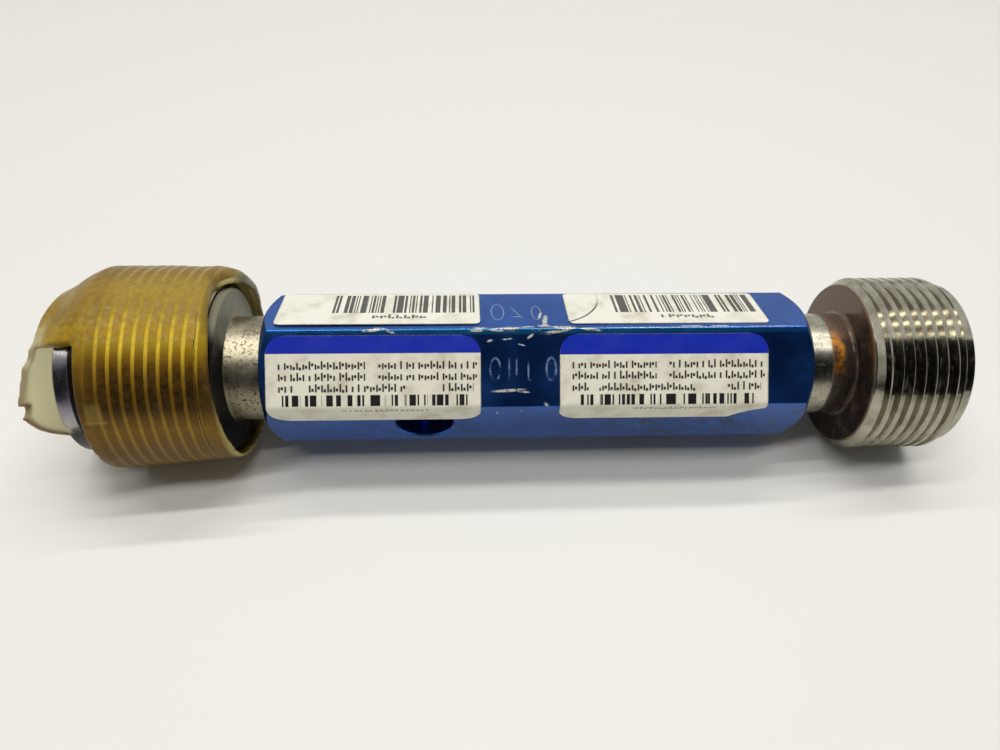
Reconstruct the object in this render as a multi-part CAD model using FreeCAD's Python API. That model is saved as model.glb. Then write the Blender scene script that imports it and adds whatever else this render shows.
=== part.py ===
"""Double-ended thread plug gauge: a hexagonal taper-lock handle with a GO
member at the -X end, still in its torn dip coat, and a NO-GO member at the
+X end. Millimetres. The gauge lies on the XY plane, its axis along X."""

import FreeCAD, Part
import math
import os

Vector = FreeCAD.Vector
Rotation = FreeCAD.Rotation
Placement = FreeCAD.Placement

# ---------------------------------------------------------------- dimensions
INCH = 25.4

# Thread, 1 3/8 - 12, right-hand, on both members
major_diameter = 1.375 * INCH
thread_pitch = INCH / 12
thread_angle = 60.0
go_crest_flat = 0.50
nogo_crest_flat = 0.75

# Gauge members: plain lands, turned to just under the thread root, end the thread
go_length = 28.1
go_outer_land = 2.75
go_inner_land = 1.2
nogo_length = 19.5
nogo_outer_land = 1.65
nogo_inner_land = 0.65
land_undercut = 0.06
edge_break = 0.25
centre_diameter = 3.2
centre_depth = 2.5
go_neck_length = 7.2
nogo_neck_length = 9.5
neck_diameter = 20.4
neck_fillet = 0.8

# Taper seat between member and handle, on the diameter: 1 in 24
taper_ratio = 1 / 24
shank_reach = 2.0
shank_chamfer = 0.8

# Handle
handle_length = 104.8
across_flats = 1.0 * INCH
corner_radius = 0.4
end_face_diameter = 24.8
end_chamfer_angle = 38.0
drift_hole_diameter = 7 / 16 * INCH
drift_hole_position = 30.2
drift_hole_chamfer = 0.3
front_face_angle = 45.0

# Dip coat on the GO member
coat_clearance = 0.05
coat_wall_left = 2.54
coat_wall_right = 1.64
coat_shift_left = 0.6
coat_shift_right = 1.25
coat_shift_angle = 137.0
coat_shoulder_length = 9.0
coat_shoulder_drop = 4.0
coat_lip_drop = 1.7
coat_lip_length = 2.0
coat_end_closing = 0.6
shoulder_facets = 5
lip_facets = 3
coat_cut_back = 5.3
coat_cap_thickness = 1.2
coat_cap_gap = 0.25
coat_flat_depth = 0.9
flap_hinge_angle = 147.0
flap_tilt = 7.5
flap_cut_top = 60.0
flap_cut_bottom = -63.0

# Torn edge of the flap: angle round the gauge axis, radius
flap_edge = [
    (62.0, 17.2), (54.0, 16.8), (48.0, 18.0), (39.0, 18.1), (32.0, 18.7), (27.0, 18.9),
    (24.0, 16.9), (21.0, 17.3), (18.0, 18.3), (11.0, 17.0), (3.0, 15.8), (-9.0, 14.3),
    (-20.0, 13.4), (-40.0, 13.0), (-63.0, 14.0),
]

# Labels: width along the handle, height round it, start in from the GO end
label_thickness = 0.12
label_corner_radius = 3.6
calibration_width = 39.7
calibration_height = 18.6
go_calibration_start = 1.4
go_calibration_drop = 0.9
nogo_calibration_start = 55.9
nogo_calibration_drop = 1.3
barcode_width = 38.6
barcode_height = 12.7
barcode_corner_radius = 1.2
go_barcode_start = 2.5
go_barcode_drop = 0.4
nogo_barcode_start = 57.9
nogo_barcode_drop = 0.5
peeled_corner_width = 7.0
peeled_corner_height = 3.6

# ------------------------------------------------------------------- derived
major_radius = major_diameter / 2
flank_slope = math.tan(math.radians(thread_angle / 2))
neck_radius = neck_diameter / 2
half_handle = handle_length / 2
apothem = across_flats / 2
face_width = across_flats / math.sqrt(3)
drift_radius = drift_hole_diameter / 2
shank_length = drift_hole_position - drift_radius + shank_reach
shank_end_radius = neck_radius - shank_length * taper_ratio / 2
go_outer_x = -half_handle - go_neck_length - go_length
go_inner_x = -half_handle - go_neck_length
nogo_outer_x = half_handle + nogo_neck_length + nogo_length
top_face_angle = front_face_angle + 60
lower_face_angle = front_face_angle - 60
coat_left_x = go_outer_x + coat_cut_back
coat_radius_left = major_radius + coat_wall_left
coat_radius_right = major_radius + coat_wall_right
coat_shoulder_radius = coat_radius_left - coat_shoulder_drop
coat_opening_radius = major_radius - coat_end_closing


# ------------------------------------------------------------------- helpers
def radial(angle):
    """Unit vector across the gauge axis: 0 points to -Y, 90 to +Z."""
    a = math.radians(angle)
    return Vector(0, -math.cos(a), math.sin(a))


def turned(points):
    """Solid of revolution about X from (x, radius) points."""
    corners = [Vector(x, 0, r) for x, r in points]
    profile = Part.Face(Part.makePolygon(corners + corners[:1]))
    return profile.revolve(Vector(0, 0, 0), Vector(1, 0, 0), 360)


def thread_depth(crest_flat):
    return (thread_pitch - crest_flat) / 2 / flank_slope


def thread_groove(start, length, crest_flat):
    """V groove swept along a right-hand helix about X."""
    root_radius = major_radius - thread_depth(crest_flat)
    top_radius = major_radius + crest_flat / 4
    top_half = (top_radius - root_radius) * flank_slope
    root = Vector(root_radius, 0, 0)
    profile = Part.makePolygon([
        root, Vector(top_radius, 0, -top_half), Vector(top_radius, 0, top_half), root])
    helix = Part.makeLongHelix(thread_pitch, length, root_radius, 0)
    groove = Part.Wire(helix.Edges).makePipeShell([profile], True, True)
    groove.Placement = Placement(Vector(start, 0, 0), Rotation(Vector(0, 1, 0), 90))
    return groove


# -------------------------------------------------------------------- pieces
def gauge_member(length, outer_land, inner_land, neck_length, crest_flat, threaded=True):
    """Member with its outer face at x = 0, its neck and taper shank towards +X."""
    land_radius = major_radius - thread_depth(crest_flat) - land_undercut
    rise = major_radius - land_radius
    neck_end = length + neck_length
    shank_end = neck_end + shank_length
    centre_radius = centre_diameter / 2
    arc = [(length + neck_fillet * (1 - math.cos(t)), neck_radius + neck_fillet * (1 - math.sin(t)))
           for t in (math.radians(30 * k) for k in range(4))]
    blank = turned([
        (centre_depth, 0), (centre_depth, centre_radius), (0, centre_radius),
        (0, land_radius - edge_break), (edge_break, land_radius),
        (outer_land, land_radius), (outer_land + rise, major_radius),
        (length - inner_land - rise, major_radius), (length - inner_land, land_radius),
        (length - edge_break, land_radius), (length, land_radius - edge_break),
        *arc,
        (neck_end, neck_radius),
        (shank_end - shank_chamfer, shank_end_radius + shank_chamfer * taper_ratio / 2),
        (shank_end, shank_end_radius - shank_chamfer),
        (shank_end, 0)])
    if not threaded:
        return blank
    start = outer_land - thread_pitch
    run = length - inner_land - outer_land + 2 * thread_pitch
    return blank.cut(thread_groove(start, run, crest_flat))


def make_go_member():
    """Its thread lies hidden in the coat, so it is left at the crest diameter."""
    member = gauge_member(go_length, go_outer_land, go_inner_land, go_neck_length, go_crest_flat,
                          threaded=False)
    member.translate(Vector(go_outer_x, 0, 0))
    return member


def make_nogo_member():
    member = gauge_member(nogo_length, nogo_outer_land, nogo_inner_land, nogo_neck_length,
                          nogo_crest_flat)
    member.rotate(Vector(0, 0, 0), Vector(0, 0, 1), 180)
    member.translate(Vector(nogo_outer_x, 0, 0))
    return member


def taper_bore():
    """Tapered seat for a shank, from the handle's end at x = 0 towards +X."""
    depth = drift_hole_position + drift_radius / 2
    end_radius = neck_radius - depth * taper_ratio / 2
    return turned([(0, 0), (0, neck_radius), (depth, end_radius), (depth, 0)])


def drift_hole(x, face_angle):
    """Cross hole for a drift pin, square to a pair of flats, with broken edges."""
    half = apothem + drift_hole_chamfer
    wide = drift_radius + 2 * drift_hole_chamfer
    inner = apothem - drift_hole_chamfer
    cutter = turned([(-half, 0), (-half, wide), (-inner, drift_radius), (inner, drift_radius),
                     (half, wide), (half, 0)])
    cutter.Placement = Placement(Vector(x, 0, 0), Rotation(Vector(1, 0, 0), radial(face_angle)))
    return cutter


def make_handle():
    corner = face_width
    bar_points = [radial(front_face_angle + 30 + 60 * k) * corner for k in range(6)]
    bar_points = [p + Vector(-half_handle, 0, 0) for p in bar_points]
    bar = Part.Face(Part.makePolygon(bar_points + bar_points[:1]))
    bar = bar.extrude(Vector(handle_length, 0, 0))
    long_edges = [e for e in bar.Edges if e.Length > handle_length / 2]
    bar = bar.makeFillet(corner_radius, long_edges)
    face_radius = end_face_diameter / 2
    envelope_radius = corner + 1
    drop = (envelope_radius - face_radius) * math.tan(math.radians(end_chamfer_angle))
    envelope = turned([(-half_handle, 0), (-half_handle, face_radius),
                       (-half_handle + drop, envelope_radius), (half_handle - drop, envelope_radius),
                       (half_handle, face_radius), (half_handle, 0)])
    handle = bar.common(envelope.toNurbs())
    go_bore = taper_bore()
    go_bore.translate(Vector(-half_handle, 0, 0))
    nogo_bore = taper_bore()
    nogo_bore.rotate(Vector(0, 0, 0), Vector(0, 0, 1), 180)
    nogo_bore.translate(Vector(half_handle, 0, 0))
    go_drift = drift_hole(-half_handle + drift_hole_position, lower_face_angle)
    nogo_drift = drift_hole(half_handle - drift_hole_position, top_face_angle)
    return handle.cut([go_bore, nogo_bore, go_drift, nogo_drift])


def beyond_cap(offset):
    """Everything past the flap's inner plane, moved outwards by offset."""
    size = 4 * coat_radius_left
    block = Part.makeBox(size, size, size, Vector(-size, -size / 2, -size / 2))
    hinge = radial(flap_hinge_angle)
    tilt_axis = hinge.cross(Vector(1, 0, 0))
    block.translate(Vector(-offset, 0, 0))
    block.rotate(Vector(0, 0, 0), tilt_axis, flap_tilt)
    block.translate(Vector(go_outer_x - coat_cap_gap, 0, 0) + hinge * major_radius)
    return block


def coat_outside():
    """Outer form of the coat: thicker at the back, rounded shoulder, thin lip."""
    shoulder_x = coat_left_x + 0.4
    lip_x = go_inner_x - coat_lip_length
    far_x = shoulder_x - coat_shoulder_length
    mid_x = shoulder_x - coat_shoulder_length * 0.6
    mid_radius = coat_radius_left - (coat_radius_left - coat_shoulder_radius) * 0.3
    end_x = go_inner_x
    lip = Part.Arc(Vector(end_x, 0, coat_radius_right - coat_lip_drop),
                   Vector(end_x - coat_lip_length * 0.3, 0, coat_radius_right - coat_lip_drop / 3),
                   Vector(lip_x, 0, coat_radius_right))
    shoulder = Part.Arc(Vector(shoulder_x, 0, coat_radius_left), Vector(mid_x, 0, mid_radius),
                        Vector(far_x, 0, coat_shoulder_radius))
    profile = [(p.x, p.z) for p in lip.toShape().discretize(lip_facets + 1)]
    profile += [(p.x, p.z) for p in shoulder.toShape().discretize(shoulder_facets + 1)]
    body = turned([(end_x, 0), *profile, (far_x - coat_shoulder_length, coat_shoulder_radius),
                   (far_x - coat_shoulder_length, 0)])
    span = lip_x - shoulder_x
    lean = math.degrees(math.atan((coat_shift_right - coat_shift_left) / span))
    aside = radial(coat_shift_angle)
    body.rotate(Vector(shoulder_x, 0, 0), Vector(1, 0, 0).cross(aside), lean)
    body.translate(aside * coat_shift_left)
    return body


def coat_inside():
    """Space inside the coat: bears on the thread crests, closes in on both lands."""
    bore = major_radius + coat_clearance
    outer_rise_x = go_outer_x + go_outer_land
    land_bore = coat_opening_radius - 0.2
    return turned([
        (go_outer_x - coat_shoulder_length, 0), (go_outer_x - coat_shoulder_length, land_bore),
        (outer_rise_x - 0.4, land_bore), (outer_rise_x + 0.6, bore),
        (go_inner_x - go_inner_land, bore), (go_inner_x - 0.5, coat_opening_radius),
        (go_inner_x + 5, coat_opening_radius), (go_inner_x + 5, 0)])


def cut_sector():
    """Wedge in which the coat has been cut free of its end."""
    reach = 2 * coat_radius_left
    steps = 4
    turn = (flap_cut_top - flap_cut_bottom) / steps
    rim = [radial(flap_cut_bottom + turn * k) * reach for k in range(steps + 1)]
    shift = Vector(coat_left_x, 0, 0)
    corners = [shift] + [p + shift for p in rim] + [shift]
    return Part.Face(Part.makePolygon(corners)).extrude(Vector(-reach, 0, 0))


def make_flap():
    """Cut end of the coat, sprung away from the GO face, with its torn edge."""
    reach = 2 * coat_shoulder_length
    start = Vector(go_outer_x - reach, 0, 0)
    corners = [radial(angle) * radius + start for angle, radius in flap_edge]
    corners.append(radial(flap_hinge_angle) * (coat_shoulder_radius / 2) + start)
    prism = Part.Face(Part.makePolygon(corners + corners[:1])).extrude(Vector(2 * reach, 0, 0))
    slab = beyond_cap(0).cut(beyond_cap(coat_cap_thickness))
    return prism.common(slab)


def make_coat(floor):
    outside = coat_outside().cut(beyond_cap(coat_cap_thickness))
    inside = coat_inside().cut(beyond_cap(0))
    shell = outside.cut(inside).cut(cut_sector())
    coat = shell.fuse(make_flap()).removeSplitter()
    return coat.cut(floor)


def on_flat(shape, angle):
    """Put a shape drawn with X along the handle, Y up the flat and Z outwards on a flat."""
    outward = radial(angle)
    up = radial(angle + 90)
    turn = Rotation(Vector(1, 0, 0), up, outward, "XZY")
    shape.Placement = Placement(outward * apothem, turn).multiply(shape.Placement)
    return shape


def plate(x0, x1, y0, y1, top_radius, bottom_radius):
    """Thin sheet with rounded corners, lying on z = 0."""
    sheet = Part.makeBox(x1 - x0, y1 - y0, label_thickness, Vector(x0, y0, 0))
    for y, radius in ((y1, top_radius), (y0, bottom_radius)):
        if radius > 0:
            upright = [e for e in sheet.Edges if abs(e.tangentAt(e.FirstParameter).z) > 0.5]
            corners = [e for e in upright if abs(e.CenterOfMass.y - y) < 1e-6]
            sheet = sheet.makeFillet(radius, corners)
    return sheet


def wrapped_label(start, drop):
    """Label on the front flat, wrapped over the lower corner of the bar."""
    x0 = -half_handle + start
    x1 = x0 + calibration_width
    tangent = corner_radius * math.tan(math.radians(30))
    edge_y = -face_width / 2 + tangent
    front = plate(x0, x1, edge_y, face_width / 2 - drop, label_corner_radius, 0)
    lower_height = calibration_height - (face_width - drop)
    lower = plate(x0, x1, face_width / 2 - lower_height, face_width / 2 - tangent,
                  0, label_corner_radius)
    on_flat(front, front_face_angle)
    on_flat(lower, lower_face_angle)
    corner_angle = front_face_angle - 30
    centre = radial(corner_angle) * (face_width - corner_radius / math.cos(math.radians(30)))
    outer = corner_radius + label_thickness
    bend = Part.makeCylinder(outer, calibration_width, Vector(x0, 0, 0), Vector(1, 0, 0))
    bend = bend.cut(Part.makeCylinder(corner_radius, calibration_width, Vector(x0, 0, 0),
                                      Vector(1, 0, 0)))
    sides = [radial(lower_face_angle) * 3, radial(corner_angle) * 4, radial(front_face_angle) * 3]
    wedge_points = [Vector(x0, 0, 0)] + [p + Vector(x0, 0, 0) for p in sides] + [Vector(x0, 0, 0)]
    wedge = Part.Face(Part.makePolygon(wedge_points)).extrude(Vector(calibration_width, 0, 0))
    bend = bend.common(wedge)
    bend.translate(centre)
    return front.fuse([bend, lower]).removeSplitter()


def make_go_calibration_label():
    return wrapped_label(go_calibration_start, go_calibration_drop)


def make_nogo_calibration_label():
    """As its twin, with the lower right corner torn away."""
    label = wrapped_label(nogo_calibration_start, nogo_calibration_drop)
    x1 = -half_handle + nogo_calibration_start + calibration_width
    low = face_width / 2 - (calibration_height - (face_width - nogo_calibration_drop))
    corner = [Vector(x1 - peeled_corner_width, low - 1, -1), Vector(x1 + 1, low - 1, -1),
              Vector(x1 + 1, low + peeled_corner_height, -1),
              Vector(x1 - peeled_corner_width / 3, low + peeled_corner_height / 2, -1)]
    tear = Part.Face(Part.makePolygon(corner + corner[:1])).extrude(Vector(0, 0, 2))
    return label.cut(on_flat(tear, lower_face_angle))


def barcode_label(start, drop):
    x0 = -half_handle + start
    top = face_width / 2 - drop
    sheet = plate(x0, x0 + barcode_width, top - barcode_height, top,
                  barcode_corner_radius, barcode_corner_radius)
    return on_flat(sheet, top_face_angle)


# --------------------------------------------------- resting place and origin
# The axis dips from the flat worn on the coat to the last NO-GO crest.
rest_radius = coat_radius_left - coat_flat_depth
nogo_crest_x = nogo_outer_x - nogo_outer_land - (thread_depth(nogo_crest_flat) + land_undercut)
rest_slope = (rest_radius - major_radius) / (nogo_crest_x - coat_left_x)
rest_angle = math.degrees(math.atan(rest_slope))


def floor_block():
    """Everything below the surface that the gauge lies on."""
    size = 2 * handle_length + go_length + nogo_length
    block = Part.makeBox(2 * size, size, size, Vector(-size, -size / 2, -size))
    block.rotate(Vector(0, 0, 0), Vector(0, 1, 0), -rest_angle)
    block.translate(Vector(coat_left_x, 0, -rest_radius))
    return block


pieces = {
    "handle": make_handle(),
    "go_member": make_go_member(),
    "nogo_member": make_nogo_member(),
    "dip_coat": make_coat(floor_block()),
    "go_calibration_label": make_go_calibration_label(),
    "nogo_calibration_label": make_nogo_calibration_label(),
    "go_barcode_label": barcode_label(go_barcode_start, go_barcode_drop),
    "nogo_barcode_label": barcode_label(nogo_barcode_start, nogo_barcode_drop),
}

for shape in pieces.values():
    shape.rotate(Vector(coat_left_x, 0, -rest_radius), Vector(0, 1, 0), rest_angle)
    shape.translate(Vector(0, 0, rest_radius))

box = Part.makeCompound(list(pieces.values())).optimalBoundingBox()
centring = Vector(-box.Center.x, -box.Center.y, -box.ZMin)

os.makedirs("parts", exist_ok=True)
for name, shape in pieces.items():
    shape.translate(centring)
    shape.exportStep("parts/" + name + ".step")
    print(name, len(shape.Solids), shape.isValid(), round(shape.Volume, 2))
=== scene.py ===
import bmesh
import bpy
import math
import numpy
from mathutils import Matrix, Vector, noise


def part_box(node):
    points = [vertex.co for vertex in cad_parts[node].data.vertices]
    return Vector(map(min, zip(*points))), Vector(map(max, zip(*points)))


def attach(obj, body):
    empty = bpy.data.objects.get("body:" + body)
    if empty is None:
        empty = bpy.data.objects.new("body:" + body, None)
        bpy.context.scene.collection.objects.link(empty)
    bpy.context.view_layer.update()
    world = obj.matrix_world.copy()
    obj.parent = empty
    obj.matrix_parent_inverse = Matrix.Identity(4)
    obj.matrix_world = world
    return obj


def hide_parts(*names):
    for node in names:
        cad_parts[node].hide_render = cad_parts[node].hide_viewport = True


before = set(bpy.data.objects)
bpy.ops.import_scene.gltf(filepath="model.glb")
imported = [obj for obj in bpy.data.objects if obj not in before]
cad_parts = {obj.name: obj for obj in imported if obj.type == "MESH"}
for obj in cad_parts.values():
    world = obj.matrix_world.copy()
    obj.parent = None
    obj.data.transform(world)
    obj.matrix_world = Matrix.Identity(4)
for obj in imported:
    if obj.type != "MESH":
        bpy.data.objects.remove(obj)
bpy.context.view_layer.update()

# ------------------------------------------------------------------------- handle
# Hexagonal aluminium bar, bright-dipped and anodised blue, with a member driven
# into a taper bore at each end. Millimetres run along its axis from its middle,
# and degrees round it, 0 to the front and 90 up.
MM = 0.001
handle_low, handle_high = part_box("handle")
handle_centre = (handle_low + handle_high) / 2
nogo_low, nogo_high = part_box("nogo_member")
nogo_centre = (nogo_low + nogo_high) / 2
dip = math.atan2(handle_centre.z - nogo_centre.z, nogo_centre.x - handle_centre.x)
gauge = (Matrix.Translation(handle_centre) @ Matrix.Rotation(dip, 4, "Y")
         @ Matrix.Diagonal((MM, MM, MM, 1)))
gauge_inverse = gauge.inverted()
across_flats = 25.4
face_width = across_flats / math.sqrt(3)
front, top, lower = 45, 105, -15


def colour(value):
    """sRGB hex to linear RGBA."""
    parts = [int(value[i:i + 2], 16) / 255 for i in (1, 3, 5)]
    return [p / 12.92 if p <= 0.04045 else ((p + 0.055) / 1.055) ** 2.4 for p in parts] + [1.0]


def add(tree, kind, *values, out=0, stops=(), **settings):
    """Adds one node; values and links fill its sockets in order, or by a dict's keys."""
    node = tree.nodes.new("ShaderNode" + kind)
    for name, value in settings.items():
        setattr(node, name, value)
    sockets = values[0] if values and isinstance(values[0], dict) else dict(enumerate(values))
    for key, value in sockets.items():
        if isinstance(value, bpy.types.NodeSocket):
            tree.links.new(value, node.inputs[key])
        else:
            node.inputs[key].default_value = colour(value) if isinstance(value, str) else value
    if stops:
        elements = node.color_ramp.elements
        while len(elements) < len(stops):
            elements.new(0.5)
        for element, (position, shade) in zip(elements, stops):
            element.position = position
            element.color = colour(shade)
    return node if out is None else node.outputs[out]


def new_material(name, **shader_values):
    """Material with one Principled shader; returns it, its tree and the shader."""
    material = bpy.data.materials.new(name)
    material.use_nodes = True
    tree = material.node_tree
    shader = tree.nodes["Principled BSDF"]
    for key, value in shader_values.items():
        shader.inputs[key.replace("_", " ")].default_value = value
    return material, tree, shader


def gauge_coordinates(tree):
    """Object coordinates turned into gauge millimetres."""
    return add(tree, "Mapping", {
        "Vector": add(tree, "TexCoord", out="Object"), "Location": gauge_inverse.translation,
        "Rotation": gauge_inverse.to_euler(), "Scale": (1 / MM, 1 / MM, 1 / MM)})


def patches(tree, place, scale, low, high, detail=3.0, roughness=0.55, stretch=None):
    """Mask of noise cut to patches; its grain is about 1 / scale millimetres."""
    if stretch:
        place = add(tree, "Mapping", {"Vector": place, "Scale": stretch})
    grain = add(tree, "TexNoise", {
        "Vector": place, "Scale": scale, "Detail": detail, "Roughness": roughness})
    return add(tree, "MapRange", grain, low, high, interpolation_type="SMOOTHSTEP")


def over(tree, below, above, mask, share):
    """Lays one colour over another, as strongly as a share of a mask."""
    strength = add(tree, "Math", mask, share, operation="MULTIPLY")
    return add(tree, "Mix", {0: strength, 6: below, 7: above}, out=2, data_type="RGBA")


# Anodised aluminium: metal under a clear blue dye, so its gloss is blue and
# sharp, cloudy where the dye is uneven. Clouds are about 8 mm, grime 2 mm.
anodised, tree, shader = new_material("blue_anodised_aluminium", Metallic=0.9, Roughness=0.22)
place = gauge_coordinates(tree)
cloud = add(tree, "TexNoise", {"Vector": place, "Scale": 0.12, "Detail": 3.0, "Roughness": 0.55})
dye_and_highlight = add(tree, "ValToRGB", cloud, stops=[(0.3, "#1f4d9a"), (0.7, "#2b5eae")])
grime = patches(tree, place, 0.5, 0.56, 0.72, detail=5.0)
dye_and_highlight = over(tree, dye_and_highlight, "#2a2f44", grime, 0.35)


def radial(angle):
    a = math.radians(angle)
    return Vector((0, -math.cos(a), math.sin(a)))


def on_face(angle, x, v, lift=0.0):
    """Point on a flat: x along the handle, v down from the flat's upper corner."""
    up = radial(angle + 90)
    return Vector((x, 0, 0)) + radial(angle) * (across_flats / 2 + lift) + up * (face_width / 2 - v)


def spot(tree, vector, centre, size, angle=front, turn=0.0, edge=0.6):
    """Mask of 1 inside an oval lying on a flat, fading to 0 at its edge."""
    lie = (Matrix.Rotation(math.radians(90 - angle), 3, "X")
           @ Matrix.Rotation(math.radians(turn), 3, "Z"))
    local = add(tree, "Mapping", {
        "Vector": vector, "Location": centre, "Rotation": lie.to_euler(),
        "Scale": (size[0], size[1], 1.2)}, vector_type="TEXTURE")
    length = add(tree, "VectorMath", local, out="Value", operation="LENGTH")
    return add(tree, "MapRange", length, edge, 1.0, 1.0, 0.0, interpolation_type="SMOOTHSTEP")


def any_of(tree, masks):
    """The strongest of several masks."""
    total = masks[0]
    for mask in masks[1:]:
        total = add(tree, "Math", total, mask, operation="MAXIMUM")
    return total


# Chips and rubs: flat, x, v, half length, half height, turn.
chip_list = [(front, -31.5, 0.25, 2.2, 0.35, 4), (front, -28.0, 0.5, 1.0, 0.3, -20),
             (front, 3.0, 0.6, 3.4, 0.35, 8), (front, 9.5, 0.3, 2.4, 0.3, -6),
             (front, -3.6, 3.1, 1.0, 0.16, -14), (front, -9.6, 2.3, 0.7, 0.3, 10),
             (front, -6.4, 2.0, 1.3, 0.18, 6), (front, -6.0, 11.6, 4.0, 0.34, 3),
             (front, -3.2, 11.9, 1.4, 0.2, -4), (front, 0.9, 14.2, 0.7, 0.35, -40),
             (lower, 4.5, 2.2, 1.2, 0.12, 10), (lower, -8.2, 2.6, 0.12, 0.7, 0),
             (lower, -3.8, 1.8, 0.5, 0.12, 25), (lower, -21.0, 9.4, 6.0, 0.16, 2),
             (top, 1.0, 11.6, 0.6, 2.6, -8), (top, 0.6, 13.7, 1.4, 0.5, 0),
             (top, -2.5, 14.1, 1.6, 0.25, 5), (top, -30.0, 14.3, 1.5, 0.35, -5),
             (top, 44.0, 14.5, 7.0, 0.12, 0), (top, 28.5, 14.2, 3.0, 0.22, 0),
             (top, 34.0, 14.2, 2.2, 0.22, 0), (top, 26.0, 14.58, 19.0, 0.09, 0),
             (top, -6.0, 14.45, 3.2, 0.3, 2), (top, -11.5, 14.4, 1.4, 0.3, 0),
             (top, 4.2, 14.3, 3.0, 0.5, -3), (top, 0.2, 9.6, 0.35, 1.6, -14),
             (front, -12.0, 0.4, 1.6, 0.3, 0), (front, -8.4, 0.35, 1.8, 0.25, -5),
             (front, 1.6, 0.9, 1.1, 0.35, 12), (front, -2.0, 1.5, 0.9, 0.3, 35)]
chips = any_of(tree, [spot(tree, place, on_face(a, x, v), (w, h), a, turn)
                      for a, x, v, w, h, turn in chip_list])
ragged = patches(tree, place, 2.2, 0.36, 0.5, detail=6.0)
chips = add(tree, "Math", chips, ragged, operation="MULTIPLY")
fine = patches(tree, place, 1.4, 0.685, 0.73, detail=8.0, roughness=0.7, stretch=(0.25, 2.5, 2.5))
worn = add(tree, "Math", chips, add(tree, "Math", fine, 0.4, operation="MULTIPLY"),
           operation="MAXIMUM")
corner_wear = any_of(tree, [spot(tree, place, on_face(a, -4.0, v), (13.0, h), a, 0, 0.3)
                            for a, v, h in ((top, 14.3, 0.5), (front, 0.3, 0.45))])
rubbed = patches(tree, place, 0.9, 0.5, 0.6, detail=8.0, roughness=0.7)
corner_wear = add(tree, "Math", corner_wear, rubbed, operation="MULTIPLY")
# Painted highlight: a teal band along the upper edge of the front flat, where the corner catches
# the light.
painted_edge_highlight = spot(tree, place, on_face(front, 0.0, 0.5), (70.0, 0.75), front, 0, 0.5)
dye_and_highlight = over(tree, dye_and_highlight, "#14658f", painted_edge_highlight, 0.8)


def ring(x, v, width, height, angle, line):
    """Mask of a thin oval outline cut in a flat."""
    outside = spot(tree, place, on_face(angle, x, v), (width, height), angle, 0, 0.9)
    inside = spot(tree, place, on_face(angle, x, v), (width - line, height - line), angle, 0, 0.9)
    return add(tree, "Math", outside, inside, operation="SUBTRACT")


stamped = any_of(tree, [
    ring(-8.6, 7.6, 1.2, 2.4, front, 0.42), ring(1.9, 7.6, 1.15, 2.4, front, 0.42),
    spot(tree, place, on_face(front, -6.0, 7.6), (0.2, 2.3), front, 0, 0.7),
    spot(tree, place, on_face(front, -4.6, 7.6), (0.2, 2.3), front, 0, 0.7),
    spot(tree, place, on_face(front, -2.4, 7.6), (0.2, 2.3), front, 0, 0.7),
    spot(tree, place, on_face(front, -1.6, 9.7), (0.9, 0.2), front, 0, 0.7)])
stamped = add(tree, "Math", stamped, patches(tree, place, 0.7, 0.35, 0.6, detail=6.0),
              operation="MULTIPLY")
dye_and_highlight = over(tree, dye_and_highlight, "#7686a6", stamped, 0.95)
scribed = any_of(tree, [
    ring(-7.9, 8.0, 1.35, 3.4, top, 0.16), ring(-0.4, 8.4, 1.0, 3.0, top, 0.16),
    spot(tree, place, on_face(top, -4.3, 8.2), (0.09, 3.4), top, 24, 0.6),
    spot(tree, place, on_face(top, -4.2, 10.0), (1.3, 0.14), top, 0, 0.6)])
dye_and_highlight = over(tree, dye_and_highlight, "#b9c4d6", scribed, 0.75)
dye_and_highlight = add(tree, "Mix", {0: corner_wear, 6: dye_and_highlight, 7: "#7d7868"}, out=2, data_type="RGBA")
finish_and_highlight = add(tree, "Mix", {0: worn, 6: dye_and_highlight, 7: "#c9c7ba"}, out=2, data_type="RGBA")
dark_marks = any_of(tree, [spot(tree, place, on_face(a, x, v), (w, h), a, turn, 0.5) for a, x, v, w,
                           h, turn in ((front, 4.0, 1.3, 4.6, 0.16, -7),
                                       (top, 6.6, 14.2, 1.6, 0.2, -14),
                                       (lower, 50.5, 2.6, 1.8, 0.25, 25),
                                       (lower, 50.8, 4.4, 0.25, 1.6, -20),
                                       (lower, 49.8, 3.6, 1.3, 0.2, -35),
                                       (lower, -27.5, 4.6, 2.2, 0.3, -12))])
finish_and_highlight = add(tree, "Mix", {0: dark_marks, 6: finish_and_highlight, 7: "#1d1710"}, out=2, data_type="RGBA")
# Darker patches over the right half of the lower flat.
lower_flat_dark_patches = add(tree, "Math",
                spot(tree, place, on_face(lower, 30.0, 9.0), (30.0, 8.0), lower, 0, 0.2),
                patches(tree, place, 0.25, 0.4, 0.62, detail=6.0), operation="MULTIPLY")
finish_and_highlight = over(tree, finish_and_highlight, "#33302c", lower_flat_dark_patches, 0.55)
tree.links.new(finish_and_highlight, shader.inputs["Base Color"])
painted = any_of(tree, [dark_marks, corner_wear, worn, stamped,
                        add(tree, "Math", painted_edge_highlight, 0.35, operation="MULTIPLY")])
tree.links.new(add(tree, "Math", painted, -0.8, 0.9, operation="MULTIPLY_ADD"),
               shader.inputs["Metallic"])
tree.links.new(add(tree, "MapRange", cloud, 0.2, 0.8, 0.16, 0.34, interpolation_type="SMOOTHSTEP"),
               shader.inputs["Roughness"])
bump = add(tree, "Bump", {"Strength": 0.12, "Distance": 0.0001,
                          "Height": add(tree, "TexNoise",
                                        {"Vector": place, "Scale": 3.0, "Detail": 4.0,
                                         "Roughness": 0.55})})
tree.links.new(bump, shader.inputs["Normal"])


def dress(node, material):
    """Gives a CAD node its finish."""
    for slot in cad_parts[node].material_slots:
        slot.material = material


dress("handle", anodised)


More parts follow.
